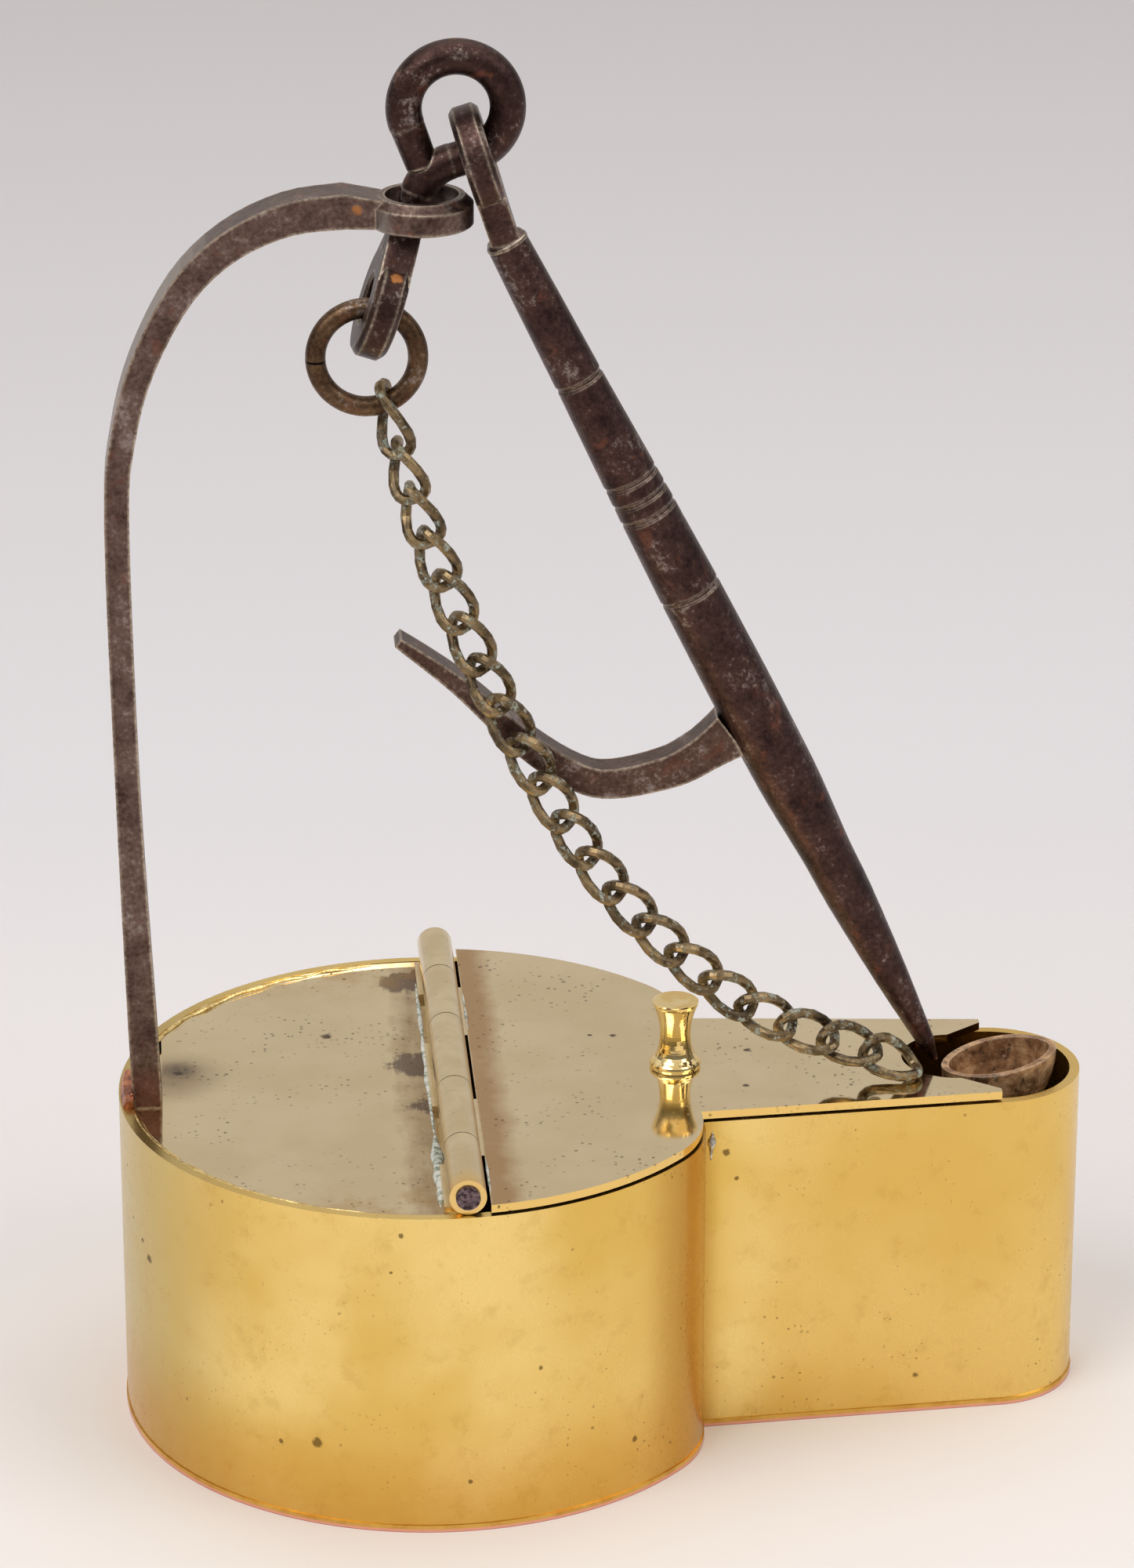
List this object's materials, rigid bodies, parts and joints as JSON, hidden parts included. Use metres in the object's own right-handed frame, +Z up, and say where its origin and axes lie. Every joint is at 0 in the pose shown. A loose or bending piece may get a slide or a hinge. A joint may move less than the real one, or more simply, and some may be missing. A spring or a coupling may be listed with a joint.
{
  "type": "lard lamp",
  "caption": "Brass lard lamp with a hinged lid, wick trough, iron bail, swivel, hanging spike with a side hook, and a chain of twisted links.",
  "frame": {"origin": "drum axis on the underside of the base plate", "axes": "+X towards the spout's nose, +Z up along the drum's axis, -Y towards the side seen in the picture"},
  "size_m": [0.1185, 0.0762, 0.1725],
  "materials": {
    "brass": "polished",
    "copper": "satin",
    "iron": "satin",
    "chain": "satin",
    "burnt": "satin"
  },
  "bodies": {
    "font": {"base_plate": "copper", "font_wall": "brass", "rear_plate": "brass", "hinge_barrel_back": "brass", "hinge_barrel_middle": "brass", "hinge_barrel_front": "brass", "hinge_pin": "iron", "bail": "iron", "bail_braze": "copper", "wick_trough": "burnt", "trough_leg": "burnt"},
    "lid": {"lid": "brass", "lid_knuckles": "brass", "lid_knob": "brass"},
    "swivel": {"swivel": "iron"},
    "chain_ring": {"chain_ring": "chain"},
    "spike": {"spike": "iron", "spike_braze": "copper", "side_hook": "iron"},
    "chain_link_01": {"chain_link_01": "chain"},
    "chain_link_02": {"chain_link_02": "chain"},
    "chain_link_03": {"chain_link_03": "chain"},
    "chain_link_04": {"chain_link_04": "chain"},
    "chain_link_05": {"chain_link_05": "chain"},
    "chain_link_06": {"chain_link_06": "chain"},
    "chain_link_07": {"chain_link_07": "chain"},
    "chain_link_08": {"chain_link_08": "chain"},
    "chain_link_09": {"chain_link_09": "chain"},
    "chain_link_10": {"chain_link_10": "chain"},
    "chain_link_11": {"chain_link_11": "chain"},
    "chain_link_12": {"chain_link_12": "chain"},
    "chain_link_13": {"chain_link_13": "chain"},
    "chain_link_14": {"chain_link_14": "chain"},
    "chain_link_15": {"chain_link_15": "chain"},
    "chain_link_16": {"chain_link_16": "chain"},
    "chain_link_17": {"chain_link_17": "chain"},
    "chain_link_18": {"chain_link_18": "chain"},
    "chain_link_19": {"chain_link_19": "chain"},
    "chain_link_20": {"chain_link_20": "chain"}
  },
  "joints": [
    {"name": "lid_hinge", "type": "hinge", "parent": "font", "child": "lid", "pos_m": [0.0026, 0, 0.0437], "axis": [0, -1, 0], "range_deg": [0, 75]},
    {"name": "swivel_tilt", "type": "hinge", "parent": "font", "child": "swivel", "pos_m": [-0.0011, 0, 0.152], "axis": [0, -1, 0], "range_deg": [0, 26.75]},
    {"name": "spike_swing", "type": "hinge", "parent": "swivel", "child": "spike", "pos_m": [0.0041, 0, 0.1644], "axis": [0, -1, 0], "range_deg": [0, 150]},
    {"name": "ring_turn", "type": "hinge", "parent": "swivel", "child": "chain_ring", "pos_m": [-0.0065, 0, 0.1346], "axis": [0, -1, 0], "range_deg": [-100.75, 0]},
    {"name": "chain_swing", "type": "hinge", "parent": "chain_ring", "child": "chain_link_01", "pos_m": [-0.00425, 0, 0.12904], "axis": [-1, 0, 0], "range_deg": [0, 6]},
    {"name": "link_sway_02", "type": "hinge", "parent": "chain_link_01", "child": "chain_link_02", "pos_m": [-0.00297, -0.00087, 0.12368], "axis": [-0.9628, 0, -0.27], "range_deg": [0, 5.75]},
    {"name": "link_bend_03", "type": "hinge", "parent": "chain_link_02", "child": "chain_link_03", "pos_m": [-0.00147, -0.00166, 0.11836], "axis": [0, -1, 0], "range_deg": [0, 32.5]},
    {"name": "link_sway_04", "type": "hinge", "parent": "chain_link_03", "child": "chain_link_04", "pos_m": [0.00022, -0.00236, 0.11309], "axis": [-0.9397, 0, -0.342], "range_deg": [0, 5.75]},
    {"name": "link_bend_05", "type": "hinge", "parent": "chain_link_04", "child": "chain_link_05", "pos_m": [0.00212, -0.00297, 0.10788], "axis": [0, -1, 0], "range_deg": [0, 32.5]},
    {"name": "link_sway_06", "type": "hinge", "parent": "chain_link_05", "child": "chain_link_06", "pos_m": [0.00414, -0.00349, 0.10271], "axis": [-0.9222, 0, -0.3867], "range_deg": [0, 5.75]},
    {"name": "link_bend_07", "type": "hinge", "parent": "chain_link_06", "child": "chain_link_07", "pos_m": [0.00629, -0.00393, 0.09758], "axis": [0, -1, 0], "range_deg": [0, 33.5]},
    {"name": "link_sway_08", "type": "hinge", "parent": "chain_link_07", "child": "chain_link_08", "pos_m": [0.00857, -0.00424, 0.09249], "axis": [-0.9026, 0, -0.4305], "range_deg": [0, 5.75]},
    {"name": "link_bend_09", "type": "hinge", "parent": "chain_link_08", "child": "chain_link_09", "pos_m": [0.01097, -0.00441, 0.08746], "axis": [0, -1, 0], "range_deg": [0, 33.5]},
    {"name": "link_sway_10", "type": "hinge", "parent": "chain_link_09", "child": "chain_link_10", "pos_m": [0.01353, -0.00458, 0.0825], "axis": [-0.8732, 0, -0.4874], "range_deg": [0, 5.75]},
    {"name": "link_bend_11", "type": "hinge", "parent": "chain_link_10", "child": "chain_link_11", "pos_m": [0.01625, -0.00473, 0.07763], "axis": [0, -1, 0], "range_deg": [0, 32.5]},
    {"name": "link_sway_12", "type": "hinge", "parent": "chain_link_11", "child": "chain_link_12", "pos_m": [0.01912, -0.00486, 0.07285], "axis": [-0.8141, 0, -0.5807], "range_deg": [0, 5.75]},
    {"name": "link_bend_13", "type": "hinge", "parent": "chain_link_12", "child": "chain_link_13", "pos_m": [0.02236, -0.00499, 0.06831], "axis": [0, -1, 0], "range_deg": [0, 30.5]},
    {"name": "link_sway_14", "type": "hinge", "parent": "chain_link_13", "child": "chain_link_14", "pos_m": [0.02595, -0.0051, 0.06404], "axis": [-0.7133, 0, -0.7009], "range_deg": [0, 5.75]},
    {"name": "link_bend_15", "type": "hinge", "parent": "chain_link_14", "child": "chain_link_15", "pos_m": [0.02986, -0.00519, 0.06006], "axis": [0, -1, 0], "range_deg": [0, 12.5]},
    {"name": "link_sway_16", "type": "hinge", "parent": "chain_link_15", "child": "chain_link_16", "pos_m": [0.03401, -0.00528, 0.05633], "axis": [-0.6225, 0, -0.7826], "range_deg": [0, 5.75]},
    {"name": "link_bend_17", "type": "hinge", "parent": "chain_link_16", "child": "chain_link_17", "pos_m": [0.03837, -0.00534, 0.05285], "axis": [0, -1, 0], "range_deg": [-4.5, 0]},
    {"name": "link_sway_18", "type": "hinge", "parent": "chain_link_17", "child": "chain_link_18", "pos_m": [0.04323, -0.00539, 0.0501], "axis": [-0.3502, 0, -0.9367], "range_deg": [0, 5.75]},
    {"name": "link_bend_19", "type": "hinge", "parent": "chain_link_18", "child": "chain_link_19", "pos_m": [0.04846, -0.00542, 0.04815], "axis": [0, -1, 0], "range_deg": [-7.5, 0]},
    {"name": "link_sway_20", "type": "hinge", "parent": "chain_link_19", "child": "chain_link_20", "pos_m": [0.05376, -0.00544, 0.04643], "axis": [-0.454, 0, -0.891], "range_deg": [0, 5.75]}
  ],
  "couplings": [
    {"joint": "swivel_tilt", "follows": "lid_hinge", "ratio": 0.35},
    {"joint": "ring_turn", "follows": "lid_hinge", "ratio": -1.3367},
    {"joint": "link_sway_02", "follows": "lid_hinge", "ratio": 0.07},
    {"joint": "link_bend_03", "follows": "lid_hinge", "ratio": 0.4267},
    {"joint": "link_sway_04", "follows": "lid_hinge", "ratio": 0.07},
    {"joint": "link_bend_05", "follows": "lid_hinge", "ratio": 0.4267},
    {"joint": "link_sway_06", "follows": "lid_hinge", "ratio": 0.07},
    {"joint": "link_bend_07", "follows": "lid_hinge", "ratio": 0.44},
    {"joint": "link_sway_08", "follows": "lid_hinge", "ratio": 0.07},
    {"joint": "link_bend_09", "follows": "lid_hinge", "ratio": 0.44},
    {"joint": "link_sway_10", "follows": "lid_hinge", "ratio": 0.07},
    {"joint": "link_bend_11", "follows": "lid_hinge", "ratio": 0.4267},
    {"joint": "link_sway_12", "follows": "lid_hinge", "ratio": 0.07},
    {"joint": "link_bend_13", "follows": "lid_hinge", "ratio": 0.4},
    {"joint": "link_sway_14", "follows": "lid_hinge", "ratio": 0.07},
    {"joint": "link_bend_15", "follows": "lid_hinge", "ratio": 0.16},
    {"joint": "link_sway_16", "follows": "lid_hinge", "ratio": 0.07},
    {"joint": "link_bend_17", "follows": "lid_hinge", "ratio": -0.0533},
    {"joint": "link_sway_18", "follows": "lid_hinge", "ratio": 0.07},
    {"joint": "link_bend_19", "follows": "lid_hinge", "ratio": -0.0933},
    {"joint": "link_sway_20", "follows": "lid_hinge", "ratio": 0.07}
  ]
}
